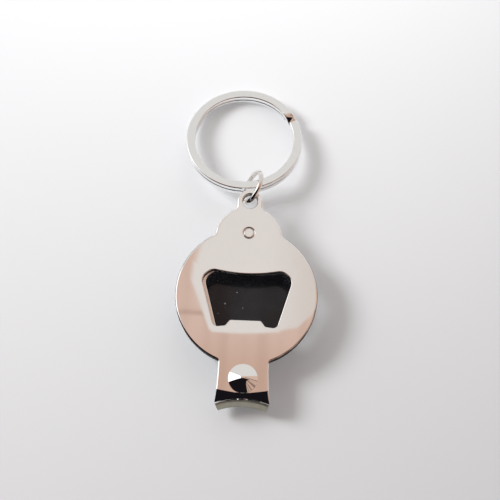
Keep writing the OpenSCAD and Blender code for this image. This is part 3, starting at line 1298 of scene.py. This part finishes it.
@dataclass
class LowerPlate(PressedPlate):
    """Lower plate: bows away from the upper one, steps down and ends in the lower jaw.

    Attributes:
        gap: Gap between the plates at the rivet.
        bow_start: Where the plate begins to bow away.
        bow_deg: Angle of the bow.
        neck_depth: Depth of the neck below the upper face.
        edge_gap: How far the jaws stand open.
        land: Width of the ground land under the edge.
        flare: How far the toe reaches past the land.
        step: Start and end of the step down to the neck.
        rivet_hole_r: Radius of the rivet's hole.
        post_hole_r: Radius of the post's hole.
        window_inset: How far its window stands in.
        window_shift: Sideways shift of its window.
    """

    gap: float = 0.1
    bow_start: float = 14.5
    bow_deg: float = 1.6
    neck_depth: float = 4.1
    edge_gap: float = 0.85
    land: float = 0.45
    flare: float = 1.0
    step: tuple[float, float] = (-16.9, -19.7)
    rivet_hole_r: float = 1.45
    post_hole_r: float = 2.05
    window_inset: float = 0.35
    window_shift: float = 0.5

    def top(self, y: float) -> float:
        """Height of the plate's upper face before the step."""
        bow = max(0.0, self.bow_start - y) * math.tan(math.radians(self.bow_deg))
        return -(self.thickness + self.gap) - bow

    def press(self, spot: Vector) -> Vector:
        """Bows, steps and turns up the flat blank.

        Args:
            spot: A point of the flat blank.

        Returns:
            Its place on the pressed plate.
        """
        start = self.tip_start()
        if spot.y >= self.step[0]:
            return Vector((spot.x, spot.y, spot.z + self.top(spot.y)))
        if spot.y >= start:
            share = min(1.0, (self.step[0] - spot.y) / (self.step[0] - self.step[1]))
            smooth = share * share * (3 - 2 * share)
            upper = self.top(self.step[0]) * (1 - smooth) - self.neck_depth * smooth
            slant = math.sin(math.pi * share) * 0.35
            return Vector((spot.x, spot.y - spot.z * slant, upper + spot.z))
        return self.turn_up(spot)

    def turn_up(self, spot: Vector) -> Vector:
        """Shapes the jaw: a wall that rises to its edge, with a ground land under the edge.

        Args:
            spot: A point of the flat blank, past the neck.

        Returns:
            Its place on the pressed plate.
        """
        start, floor = self.tip_start(), -self.neck_depth - self.thickness
        flat_half = self.neck_half(start)
        u = max(-1.0, min(1.0, spot.x / flat_half))
        edge_z = -self.edge_depth - self.edge_gap
        edge = -(self.edge_reach + self.edge_sweep * u * u)
        face = edge - self.land
        toe = face - self.flare
        shelf = -self.neck_depth
        inner = [
            bezier(
                Vector((start, shelf)),
                Vector((edge + 1.1, shelf)),
                Vector((edge + 0.25, edge_z - 0.6)),
                t / 10,
            )
            for t in range(11)
        ] + [Vector((edge, edge_z))]
        outer = [Vector((start, floor))]
        outer += [
            bezier(
                Vector((toe + 1, floor)),
                Vector((toe, floor)),
                Vector((toe + 0.1, floor + 0.6)),
                t / 6,
            )
            for t in range(7)
        ]
        outer += [Vector((face, edge_z - 0.5)), Vector((edge, edge_z))]
        share = (start - spot.y) / self.flat_tip
        depth = max(0.0, min(1.0, -spot.z / self.thickness))
        place = along(inner, share).lerp(along(outer, share), depth)
        rise = max(0.0, (place.y - floor) / (edge_z - floor))
        half = self.neck_w / 2 + (self.jaw_w / 2 - 0.1 - self.neck_w / 2) * rise
        return Vector((spot.x * half / flat_half, place.x, place.y))

    def neck_half(self, y: float) -> float:
        """Half width of the lower neck, which is the same all along."""
        return self.neck_w / 2

    def build(self) -> bpy.types.Object:
        """Makes the plate.

        Returns:
            The plate.
        """
        work = Workpiece("lower_plate")
        outline = self.outline()
        work.plate(
            [
                Rim(outline, Side.INSIDE, 0.25, 0.35, self.tip_factors(outline)),
                Rim(self.window(self.window_inset, self.window_shift), Side.OUTSIDE, 0.2, 0.2),
                Rim(self.hole(self.tab_hole[0], self.tab_hole[1]), Side.OUTSIDE, 0.15, 0.3),
                Rim(self.hole(self.rivet_y, self.rivet_hole_r), Side.OUTSIDE, 0.1, 0.15),
                Rim(self.hole(self.post_y, self.post_hole_r), Side.OUTSIDE, 0.12, 0.12),
            ],
            self.thickness,
        )
        north, south = self.step[0] + 0.4, self.step[1] - 0.4
        cuts = [north - i * (north - south) / 16 for i in range(17)]
        work.slice(cuts, 1, lambda c: -20.6 < c.y < -13)
        work.slice([13.5 - i * 2.4 for i in range(13)], 1, lambda c: c.y > -17)
        self.cut_tip(work)
        work.press(self.press)
        for face in work.bm.faces:
            middle = face.calc_center_median()
            edge = -(self.edge_reach + self.edge_sweep * (middle.x / 6.6) ** 2)
            face.material_index = 1 if middle.y < edge - 0.02 else 0
        # Painted shade: the walls of the body, window and eye get a near-black material, in slot 2.
        self.paint_shaded_walls(work, 2)
        nickel = MirrorNickel("lower_plate_nickel", tint=(0.86, 0.85, 0.84, 1.0), rough=0.06)
        finishes = [nickel.make(), GroundSteel().make(), PaintedShadeWall().make()]
        piece = work.finish(self.layout.plates(), finishes)
        return self.deliver(piece, Body.LOWER, "lower_plate", "lower_jaw")


@dataclass
class Fastenings(Assembly):
    """The tail rivet and the pivot post.

    Attributes:
        rivet_y: Middle of the rivet.
        rivet_r: Radius of its shank.
        post_y: Middle of the post.
        post_r: Radius of its shank.
        head_r: Radius of the post's head.
        head_h: Height of the head.
        bar_depth: Depth of the lever's bar below the face.
        bar_offset: How far the bar lies behind the post's middle.
        notch_r: Radius of the notch for the bar.
        head_slope: Fall of the head's cone.
        head_rounding: Size of the cone's rounded top.
        tip: Depth of the foot of the post.
    """

    rivet_y: float = 16.4
    rivet_r: float = 1.3
    post_y: float = -21.5
    post_r: float = 1.7
    head_r: float = 3.7
    head_h: float = 2.1
    bar_depth: float = 6.4
    bar_offset: float = 0.9
    notch_r: float = 0.65
    head_slope: float = 0.62
    head_rounding: float = 0.9
    tip: float = 7.75

    def build(self) -> list[bpy.types.Object]:
        """Makes both fastenings."""
        return [self.rivet(), self.post()]

    def rivet(self) -> bpy.types.Object:
        """Peened rivet with a flat top, a worn shoulder and a spread foot.

        Returns:
            The rivet.
        """
        work = Workpiece("tail_rivet_pin")
        r, stack = self.rivet_r, 2.1
        shoulder = [(r - 0.22 * (1 - math.sin(a)), -0.2 * (1 - math.cos(a))) for a in QUARTER_TURN]
        foot = [(r, -stack - 0.1), (r + 0.6, -stack - 0.1), (r + 0.7, -stack - 0.18)]
        foot += [(r + 0.66, -stack - 0.36), (r + 0.3, -stack - 0.58)]
        foot += [(r - 0.3, -stack - 0.7), (0, -stack - 0.75)]
        crown = [(0, 0.008), (0.5, 0.007), (0.9, 0.004)]
        work.turn([*crown, *shoulder, *foot], Vector((0, self.rivet_y, 0)), 64)
        piece = work.finish(
            self.layout.plates(), [MirrorNickel("rivet_nickel", ripple=4.0e-6).make()], 55
        )
        return self.deliver(piece, Body.UPPER, "rivet_steel", "tail_rivet")

    def head_profile(self, steps: int = 30) -> list[Point]:
        """Crowned cone of the head, from its small flat to its rim.

        Args:
            steps: Steps from the middle to the rim.

        Returns:
            Points (radius, height), from the middle out.
        """
        slope, rounding = self.head_slope, self.head_rounding
        spots: list[Point] = []
        for i in range(steps + 1):
            r = self.head_r * i / steps
            spots.append((r, self.head_h - slope * (r - rounding * (1 - math.exp(-r / rounding)))))
        return spots

    def post(self) -> bpy.types.Object:
        """Post with a polished head, and a notch at its foot for the lever's bar.

        Returns:
            The post.
        """
        work = Workpiece("clipper_post")
        r, head = self.post_r, self.head_r
        under = [(head + 0.01, 0.25), (head - 0.02, 0.12), (head - 0.1, 0.05)]
        under += [(r + 0.1, 0.05), (r, 0.0)]
        shank = [(r, -self.tip + 0.3), (r - 0.09, -self.tip + 0.09)]
        shank += [(r - 0.3, -self.tip), (0, -self.tip)]
        work.turn([*self.head_profile(), *under, *shank], Vector((0, self.post_y, 0)), 128)
        nickel = MirrorNickel("post_nickel", rough=0.02, ripple=1.0e-6).make()
        piece = work.finish(self.layout.plates(), [nickel], 50)
        bar = Vector((0, self.post_y - self.bar_offset, -self.bar_depth))
        cutter = Workpiece("post_notch")
        made = bmesh.ops.create_cone(
            cutter.bm,
            cap_ends=True,
            segments=48,
            radius1=self.notch_r,
            radius2=self.notch_r,
            depth=8.0,
            matrix=Matrix.Translation(bar) @ Matrix.Rotation(math.pi / 2, 4, "Y"),
        )
        rear = [v for v in made["verts"] if v.co.y < bar.y - 0.01]
        for vert in rear:
            vert.co.y -= 3.0
        cut_away(piece, cutter.finish(self.layout.plates(), []))
        piece.data.shade_smooth()
        piece.data.set_sharp_from_angle(angle=math.radians(45))
        return self.deliver(piece, Body.POST, "post_steel", "pivot_post")


@dataclass
class Lever(Assembly):
    """Folding lever: forked steel arm, black cap, printed badge and its resin.

    Attributes:
        arm_w: Width of the arm.
        arm_t: Its thickness.
        arm_end: Its inner end.
        bar_y: Middle of the pivot bar.
        bar_z: Height of the bar.
        bar_d: Diameter of the bar.
        curl_r: Radius of the curls round it.
        fork_w: Width between the fork's prongs.
        cap_y: Middle of the cap.
        cap_r: Its radius.
        cap_h: Its height.
        badge_r: Radius of the badge.
        recess: Depth of the recess.
        badge_t: Thickness of the card.
        resin_h: Height of the resin's dome.
        stake: Place of one stake; the other mirrors it.
    """

    arm_w: float = 11.0
    arm_t: float = 1.0
    arm_end: float = -7.2
    bar_y: float = -22.0872
    bar_z: float = 1.7905
    bar_d: float = 1.2
    curl_r: float = 1.05
    fork_w: float = 4.2
    cap_y: float = 2.0
    cap_r: float = 14.0
    cap_h: float = 3.6
    badge_r: float = 12.0
    recess: float = 0.9
    badge_t: float = 0.35
    resin_h: float = 0.36
    stake: tuple[float, float] = (3.0, -10.0)

    def build(self) -> list[bpy.types.Object]:
        """Makes the four pieces."""
        return [self.arm(), self.cap(), self.badge(), self.resin()]

    def arm(self) -> bpy.types.Object:
        """Forked arm with two curls around the pivot bar.

        Returns:
            The arm.
        """
        work = Workpiece("lever_steel_arm")
        half, fork = self.arm_w / 2, self.fork_w / 2
        south, north, inner = self.bar_y, self.arm_end, self.bar_y + 3.8
        corners = [
            (half, north, 1.2), (half, south, 0.05), (fork, south, 0.05), (fork, inner, 1.2),
            (-fork, inner, 1.2), (-fork, south, 0.05), (-half, south, 0.05), (-half, north, 1.2),
        ]
        rims = [Rim(rounded_path(corners, 5), Side.INSIDE, 0.12, 0.12)]
        for side in (-1, 1):
            x, y = side * self.stake[0], self.stake[1]
            rims.append(Rim(thin_out(arc((x, y), 1.03, 0, 360, 12)), Side.OUTSIDE, 0.05, 0.05))
        work.plate(rims, self.arm_t, 3)
        for vert in work.bm.verts:
            vert.co.z += self.bar_z + self.arm_t / 2
        curl_w = (self.arm_w - self.fork_w) / 2
        sideways = Matrix.Rotation(math.pi / 2, 4, "Y")
        for centre, radius, width in (
            (0.0, self.bar_d / 2, self.arm_w - curl_w),
            (-(self.arm_w - curl_w) / 2, self.curl_r, curl_w),
            ((self.arm_w - curl_w) / 2, self.curl_r, curl_w),
        ):
            made = bmesh.ops.create_cone(
                work.bm,
                cap_ends=True,
                segments=40,
                radius1=radius,
                radius2=radius,
                depth=width,
                matrix=Matrix.Translation((centre, self.bar_y, self.bar_z)) @ sideways,
            )
            touching = {e for v in made["verts"] for e in v.link_edges}
            rounds = [e for e in touching if abs(e.verts[0].co.x - e.verts[1].co.x) < 1e-4]
            bmesh.ops.bevel(
                work.bm,
                geom=rounds,
                offset=0.1,
                segments=3,
                profile=0.5,
                affect="EDGES",
                material=-1,
            )
        piece = work.finish(self.layout.ground(), [PressedSteel().make()], 35)
        return self.deliver(piece, Body.LEVER, "lever_steel", "lever_arm")

    def cap(self) -> bpy.types.Object:
        """Black cap with a recess for the badge and a pocket for the arm.

        Returns:
            The cap, with its stakes.
        """
        work = Workpiece("lever_cap")
        r, h, badge = self.cap_r, self.cap_h, self.badge_r + 0.1
        lip = [(r - 0.5 + 0.5 * math.sin(a), h - 0.5 + 0.5 * math.cos(a)) for a in QUARTER_TURN]
        foot = [(r, 1.4), (r - 0.06, 0.98), (r - 0.27, 0.53), (r - 0.52, 0.2)]
        foot += [(r - 0.8, 0.03), (r - 1.0, 0)]
        recess = [(badge + 0.12, 0), (badge, 0.1), (badge, self.recess), (0, self.recess)]
        work.turn([(0, h), *lip, *foot, *recess], Vector((0, self.cap_y, 0)), 180)
        gloss = BlackGloss().make()
        piece = work.finish(self.layout.ground(), [gloss], 35)
        floor = self.bar_z - self.arm_t / 2 - 0.05
        cutter = Workpiece("arm_pocket")
        low = Vector((-self.arm_w / 2 - 0.1, -28, floor))
        high = Vector((self.arm_w / 2 + 0.1, self.arm_end + 0.1, 6))
        pocket = Matrix.Translation((low + high) / 2) @ Matrix.Diagonal((*(high - low), 1))
        bmesh.ops.create_cube(cutter.bm, size=1.0, matrix=pocket)
        cut_away(piece, cutter.finish(self.layout.ground(), []))
        stakes = self.stakes(floor)
        stakes.data.materials.append(gloss)
        bm = bmesh.new()
        bm.from_mesh(piece.data)
        bm.from_mesh(stakes.data)
        bm.to_mesh(piece.data)
        bm.free()
        waste = stakes.data
        bpy.data.objects.remove(stakes)
        bpy.data.meshes.remove(waste)
        piece.data.shade_smooth()
        piece.data.set_sharp_from_angle(angle=math.radians(35))
        return self.deliver(piece, Body.LEVER, "lever_plastic", "lever_disc")

    def stakes(self, floor: float) -> bpy.types.Object:
        """Two hot-formed stakes that hold the arm in its pocket.

        Args:
            floor: Height of the pocket's floor.

        Returns:
            Both stakes in one piece.
        """
        work = Workpiece("cap_stakes")
        top = self.bar_z + self.arm_t / 2 + 0.05
        for side in (-1, 1):
            profile = [(0, top + 0.5), (0.6, top + 0.48), (1.1, top + 0.38), (1.5, top + 0.12)]
            profile += [(1.58, top), (1.0, top), (1.0, floor - 0.1), (0, floor - 0.1)]
            work.turn(profile, Vector((side * self.stake[0], self.stake[1], 0)), 40)
        return work.finish(self.layout.ground(), [], 35)

    def badge(self) -> bpy.types.Object:
        """Printed card in the recess.

        Returns:
            The card.
        """
        work = Workpiece("badge_card")
        low, high = self.recess - self.badge_t, self.recess
        r = self.badge_r
        work.turn(
            [(0, high), (r - 0.04, high), (r, high - 0.04), (r, low + 0.04), (r - 0.04, low), (0, low)],
            Vector((0, self.cap_y, 0)),
            128,
        )
        card = PrintedCard(centre=(0.0, (self.layout.middle_y + self.cap_y) * MM))
        piece = work.finish(self.layout.ground(), [card.make()], 35)
        return self.deliver(piece, Body.LEVER, "badge_print", "badge_insert")

    def resin(self) -> bpy.types.Object:
        """Clear resin over the card, just short of the rim.

        Returns:
            The resin.
        """
        work = Workpiece("badge_resin")
        base, r = self.recess - self.badge_t, self.badge_r
        shares = [i / 16 for i in range(17)]
        dome = [(r * (1 - t), base - 0.1 - self.resin_h * math.sin(math.pi / 2 * t)) for t in shares]
        work.turn([(0, base), (r, base), *dome], Vector((0, self.cap_y, 0)), 128)
        piece = work.finish(self.layout.ground(), [ClearResin().make()], 35)
        return self.deliver(piece, Body.LEVER, "badge_clear", "badge_dome")


@dataclass
class Rings(Assembly):
    """The wire jump ring and the split key ring.

    Attributes:
        jump_r: Radius to the middle of the wire.
        jump_wire_r: Radius of the wire.
        jump_place: Middle of the jump ring.
        jump_turn: Its turns about x, y and z in degrees.
        jump_cut_deg: Width of its cut in degrees.
        ring_r: Outer radius of the key ring.
        wire_w: Width of its flat wire.
        wire_t: Thickness of the wire.
        coil_gap: Gap between the two turns.
        ring_place: Middle of the key ring.
        ring_lean: How far it leans, in degrees.
        joggle_start: Angle at which the wire steps up.
        joggle: Length of the step in degrees.
    """

    jump_r: float = 4.21
    jump_wire_r: float = 0.61
    jump_place: tuple[float, float, float] = (0.42, 29.3, 8.38)
    jump_turn: tuple[float, float, float] = (0.0, 63.5, 165.3)
    jump_cut_deg: float = 3.0
    ring_r: float = 15.0
    wire_w: float = 2.2
    wire_t: float = 1.4
    coil_gap: float = 0.05
    ring_place: tuple[float, float, float] = (-2.3, 43.27, 4.34)
    ring_lean: float = 11.27
    joggle_start: float = 25.0
    joggle: float = 13.0

    def build(self) -> list[bpy.types.Object]:
        """Makes both rings."""
        return [self.jump(), self.split()]

    def jump(self) -> bpy.types.Object:
        """Jump ring of round wire with a closed cut.

        Returns:
            The jump ring.
        """
        work = Workpiece("jump_ring_wire")
        start = math.radians(90 + self.jump_cut_deg / 2)
        sweep = math.radians(360 - self.jump_cut_deg)
        centre = Vector((self.jump_r * math.cos(start), self.jump_r * math.sin(start), 0))
        turn = Matrix.Rotation(start, 4, "Z") @ Matrix.Rotation(math.pi / 2, 4, "X")
        made = bmesh.ops.create_circle(
            work.bm,
            cap_ends=True,
            segments=28,
            radius=self.jump_wire_r,
            matrix=Matrix.Translation(centre) @ turn,
        )
        face = made["verts"][0].link_faces[0]
        bmesh.ops.spin(
            work.bm,
            geom=[face, *face.edges, *face.verts],
            cent=(0, 0, 0),
            axis=(0, 0, 1),
            angle=sweep,
            steps=120,
        )
        bmesh.ops.recalc_face_normals(work.bm, faces=work.bm.faces[:])
        frame = self.layout.ground() @ Matrix.Translation(self.jump_place)
        frame = frame @ Euler([math.radians(a) for a in self.jump_turn]).to_matrix().to_4x4()
        nickel = MirrorNickel("wire_nickel", tint=(0.82, 0.79, 0.75, 1.0), rough=0.09, ripple=5.0e-6)
        piece = work.finish(frame, [nickel.make()], 45)
        return self.deliver(piece, Body.LINK, "jump_wire", "jump_ring")

    def level(self, angle: float) -> float:
        """Height of the flat wire's middle at an angle in degrees."""
        t = min(1.0, max(0.0, (angle - self.joggle_start) / self.joggle))
        return (self.wire_t + self.coil_gap) * (t * t * (3 - 2 * t) - 0.5)

    def split(self) -> bpy.types.Object:
        """Two turns of flat wire that step from the lower coil to the upper one.

        Returns:
            The split ring.
        """
        work = Workpiece("split_ring")
        w, t = self.wire_w / 2, self.wire_t / 2
        section = rounded_path([(w, t, 0.3), (-w, t, 0.3), (-w, -t, 0.3), (w, -t, 0.3)], 4)
        first, last = self.joggle_start + self.joggle - 360, self.joggle_start + 360
        steps = round((last - first) / 3)

        def spot(index: int, angle: float) -> Vector:
            """Point of the wire's section at an angle.

            Args:
                index: Which point of the section.
                angle: Angle in degrees.

            Returns:
                The point.
            """
            across, up = section[index]
            radius, a = self.ring_r - w + across, math.radians(angle)
            return Vector((radius * math.cos(a), radius * math.sin(a), self.level(angle) + up))

        edges = work.ring([spot(i, first) for i in range(len(section))])
        bmesh.ops.contextual_create(work.bm, geom=edges)
        for k in range(1, steps + 1):
            angle = first + (last - first) * k / steps
            edges = work.draw(edges, lambda i, a=angle: spot(i, a))
        bmesh.ops.contextual_create(work.bm, geom=edges)
        bmesh.ops.recalc_face_normals(work.bm, faces=work.bm.faces[:])
        frame = self.layout.ground() @ Matrix.Translation(self.ring_place)
        frame = frame @ Matrix.Rotation(math.radians(-self.ring_lean), 4, "X")
        nickel = MirrorNickel("ring_nickel", tint=(0.92, 0.925, 0.92, 1.0), rough=0.07, ripple=3.0e-6)
        for face in work.bm.faces:
            face.material_index = 1 if len(face.verts) > 4 else 0
        piece = work.finish(frame, [nickel.make(), PressedSteel("cut_wire_end").make()], 45)
        return self.deliver(piece, Body.RING, "ring_wire", "key_ring")


# ---------------------------------------------------------------- Studio


@dataclass(frozen=True)
class Room:
    """Room that the metal mirrors: a pale card overhead, warm walls, a window and a dark side.

    A direction is told by p, its way east over its way up, and q, its way north over its way up.

    Attributes:
        west_edge: Point (p, q) on the card's west edge, and the way in.
        west_foot: The same for its lower left edge.
        east_foot: The same for its lower right edge.
        west_softness: Below 1, a wider west edge.
        south_edge: Lowest point of its lower edge.
        south_bow: Bow of the lower edge.
        card_edge: Half width of the card's edge.
        card_west: Card's colour in the west.
        card_east: Card's colour in the east.
        wall_low: Walls' colour low down.
        wall_high: Walls' colour higher up.
        wall_shade: Colour of the rail and uprights.
        north_wall: Colour of the north wall.
        window: Colour of the window in the west.
        streaks: Colour of the streaks in the east.
        dark_side: Colour of the dark south.
    """

    west_edge: tuple[Point, Point] = ((-0.0671, 0.2322), (0.979, -0.204))
    west_foot: tuple[Point, Point] = ((-0.0471, 0.1702), (0.92, 0.392))
    east_foot: tuple[Point, Point] = ((0.0377, 0.1754), (-0.722, 0.692))
    west_softness: float = 0.3
    south_edge: Point = (-0.025, 0.1682)
    south_bow: float = 1.9
    card_edge: float = 0.0012
    card_west: Colour = (0.76, 0.72, 0.69, 1.0)
    card_east: Colour = (0.68, 0.62, 0.575, 1.0)
    wall_low: Colour = (0.60, 0.41, 0.325, 1.0)
    wall_high: Colour = (0.68, 0.50, 0.42, 1.0)
    wall_shade: Colour = (0.34, 0.2, 0.15, 1.0)
    north_wall: Colour = (0.74, 0.72, 0.7, 1.0)
    window: Colour = (1.6, 1.6, 1.6, 1.0)
    streaks: Colour = (0.16, 0.11, 0.09, 1.0)
    dark_side: Colour = (0.008, 0.007, 0.009, 1.0)

    def make(self) -> bpy.types.World:
        """Builds the room.

        Returns:
            The world.
        """
        world = bpy.data.worlds.new("studio_room")
        world.use_nodes = True
        b = ShaderBench(world.node_tree)
        x, y, z = b.split(b.node("ShaderNodeTexCoord", output="Generated"))
        high = z.most(0.05)
        p, q = x / high, y / high
        card = b.blend(p.ease(0.0, 0.06), self.card_west, self.card_east)
        sky = b.blend(self.card(p, q), self.walls(b, p, q), card)
        north = y.ease(0.32, 0.42) * (1.0 - z.ease(0.86, 0.93))
        sky = b.blend(north, sky, self.north_wall)
        west = (-p).ease(0.55, 0.6) * (1.0 - (q + p * 0.72).ease(-0.03, 0.0))
        sky = b.blend(west, sky, self.window)
        streak = ((q / p.most(0.3)) * 11.0).apply("SINE").ease(-0.1, 0.5)
        streak = streak * p.ease(0.5, 0.7) * (1.0 - q.ease(0.12, 0.2)) * 0.7
        sky = b.blend(streak, sky, self.streaks)
        dark = (-q).ease(0.11, 0.14) * (1.0 - (x - y.most(-0.75) * 0.72).ease(0.85, 0.88))
        sky = b.blend(dark, sky, self.dark_side)
        back = b.node("ShaderNodeBackground", None, {"Color": sky, "Strength": 1.0})
        out = world.node_tree.nodes.new("ShaderNodeOutputWorld")
        world.node_tree.links.new(back.socket, out.inputs["Surface"])
        return world

    def card(self, p: Signal, q: Signal) -> Signal:
        """Share of the card in a direction.

        Args:
            p: Way east over way up.
            q: Way north over way up.

        Returns:
            1 inside the card and 0 outside it.
        """
        west, foot, east = (
            (p - spot[0]) * way[0] + (q - spot[1]) * way[1]
            for spot, way in (self.west_edge, self.west_foot, self.east_foot)
        )
        off = p - self.south_edge[0]
        south = q - self.south_edge[1] - off * off * self.south_bow
        inside = (west * self.west_softness).least(foot).least(south).least(east)
        return inside.ease(-self.card_edge, self.card_edge)

    def walls(self, b: ShaderBench, p: Signal, q: Signal) -> Signal:
        """Warm walls round the card, with a darker rail to the west and faint uprights.

        Args:
            b: The bench.
            p: Way east over way up.
            q: Way north over way up.

        Returns:
            The walls' colour.
        """
        warm = b.blend(q.ease(0.12, 0.18), self.wall_low, self.wall_high)
        rail = 1.0 - (q - 0.186 + p * 0.02).apply("ABSOLUTE").ease(0.0004, 0.004)
        rail = rail * (-p).ease(0.048, 0.056)
        upright = ((p * 330.0).apply("SINE") + (p * 141.0 + 1.0).apply("SINE")).ease(-0.8, 1.9)
        return b.blend(rail * 0.45 + upright * 0.16, warm, self.wall_shade)


@dataclass
class Studio:
    """Floor, lights, surroundings and camera.

    Attributes:
        layout: Where the object stands.
        elevation: Camera's height in degrees.
        azimuth: Camera's turn in degrees.
        distance: Its distance.
        lens: Its focal length.
        aim: Where it looks, across and up from the middle.
    """

    layout: Layout
    elevation: float = 72.0
    azimuth: float = 2.3
    distance: float = 600.0
    lens: float = 171.0
    aim: tuple[float, float] = (0.93, 11.49)

    def build(self) -> None:
        """Sets everything up."""
        self.floor()
        self.surroundings()
        self.lights()
        self.camera()
        bpy.context.scene.view_settings.view_transform = "Standard"

    def floor(self) -> None:
        """Lays the pale sheet."""
        work = Workpiece("paper_sheet")
        bmesh.ops.create_grid(work.bm, x_segments=8, y_segments=8, size=700)
        sheet = work.finish(self.layout.ground(), [PaperFloor().make()])

    def surroundings(self) -> None:
        """Puts the room round the object."""
        bpy.context.scene.world = Room().make()

    def lights(self) -> None:
        """Two soft lights, kept out of the mirror faces: a low key and a nearer one to the north."""
        for name, place, size, watts, shadow in (
            ("soft_key", (-0.44, 0.16, 0.4), 0.24, 3.7, True),
            ("north_fill", (0.01, 0.19, 0.14), 0.2, 0.46, False),
        ):
            data = bpy.data.lights.new(name, "AREA")
            data.shape = "DISK"
            data.size = size
            data.energy = watts
            data.use_shadow = shadow
            data.color = (1.0, 0.99, 0.985)
            lamp = bpy.data.objects.new(name, data)
            middle = Vector((0, self.layout.middle_y * MM, 0))
            lamp.location = middle + Vector(place)
            lamp.rotation_euler = (middle - lamp.location).to_track_quat("-Z", "Y").to_euler()
            lamp.visible_glossy = False
            bpy.context.scene.collection.objects.link(lamp)

    def camera(self) -> None:
        """Sets the camera."""
        a, e = math.radians(self.azimuth), math.radians(self.elevation)
        back = Vector((math.sin(a) * math.cos(e), -math.cos(a) * math.cos(e), math.sin(e)))
        right = Vector((math.cos(a), math.sin(a), 0))
        up = back.cross(right)
        target = Vector((0, self.layout.middle_y, self.layout.face_height))
        target += right * self.aim[0] + up * self.aim[1]
        data = bpy.data.cameras.new("camera")
        data.lens, data.sensor_width = self.lens, 36.0
        data.clip_start, data.clip_end = 0.01, 10.0
        camera = bpy.data.objects.new("camera", data)
        camera.rotation_mode = "QUATERNION"
        camera.rotation_quaternion = back.to_track_quat("Z", "Y")
        camera.location = (target + back * self.distance) * MM
        bpy.context.scene.collection.objects.link(camera)
        bpy.context.scene.camera = camera


# ---------------------------------------------------------------- Main


def main() -> None:
    """Builds the opener on its frame."""
    logging.basicConfig(level=logging.INFO, format="%(name)s: %(message)s")
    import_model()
    layout = Layout.from_frame()
    UpperPlate(layout, edge_depth=1.2).build()
    LowerPlate(layout, disc_r=17.85, neck_w=12.2, edge_tilt=0.98, bow_deg=2.0).build()
    Fastenings(layout).build()
    Lever(layout).build()
    Rings(layout).build()
    Studio(layout).build()


if __name__ == "__main__":
    main()
